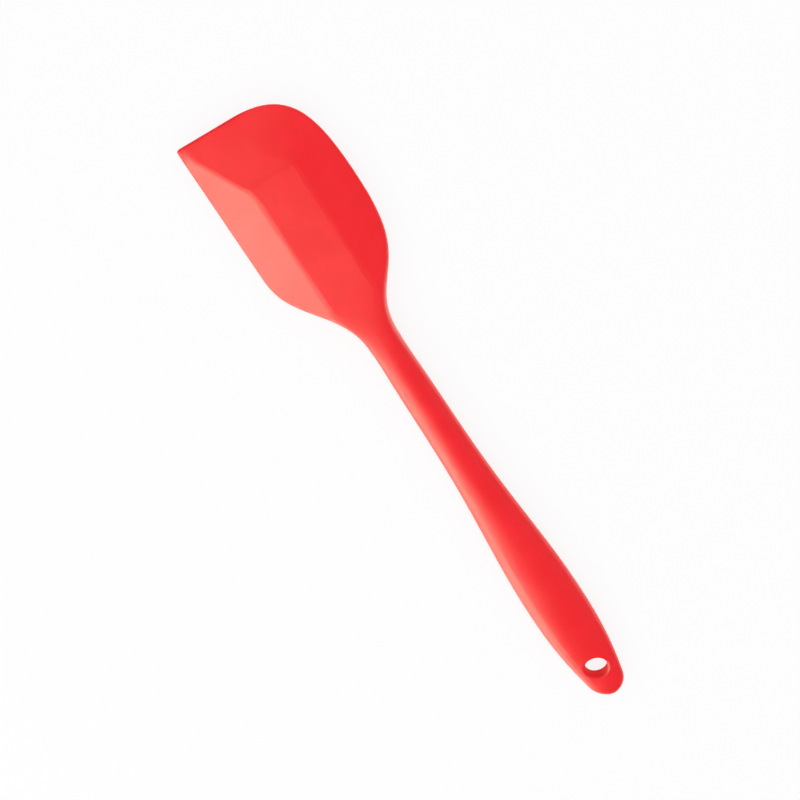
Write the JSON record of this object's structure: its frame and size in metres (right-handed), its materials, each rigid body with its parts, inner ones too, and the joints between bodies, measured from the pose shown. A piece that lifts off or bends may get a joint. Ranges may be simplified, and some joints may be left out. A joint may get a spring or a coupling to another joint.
{
  "type": "silicone spatula",
  "caption": "One-piece silicone scraper spatula with a tapered blade, one pointed and one rounded corner, a stiff core and a hanging hole.",
  "frame": {"origin": "Midway along the spatula's length, on the handle's axis, in the plane that the belly of the grip rests on.", "axes": "+X along the length towards the blade's tip, +Y towards the blade's straight side and its pointed corner, +Z out of the face that the picture shows."},
  "size_m": [0.2799, 0.0518, 0.012],
  "materials": {
    "red_silicone": "satin",
    "core_nylon": "matt"
  },
  "bodies": {
    "root": {"silicone_body": "red_silicone", "stiffener_core": "core_nylon", "locating_plug_1": "red_silicone", "locating_plug_2": "red_silicone", "locating_plug_3": "red_silicone", "locating_plug_4": "red_silicone", "locating_plug_5": "red_silicone"}
  },
  "joints": []
}
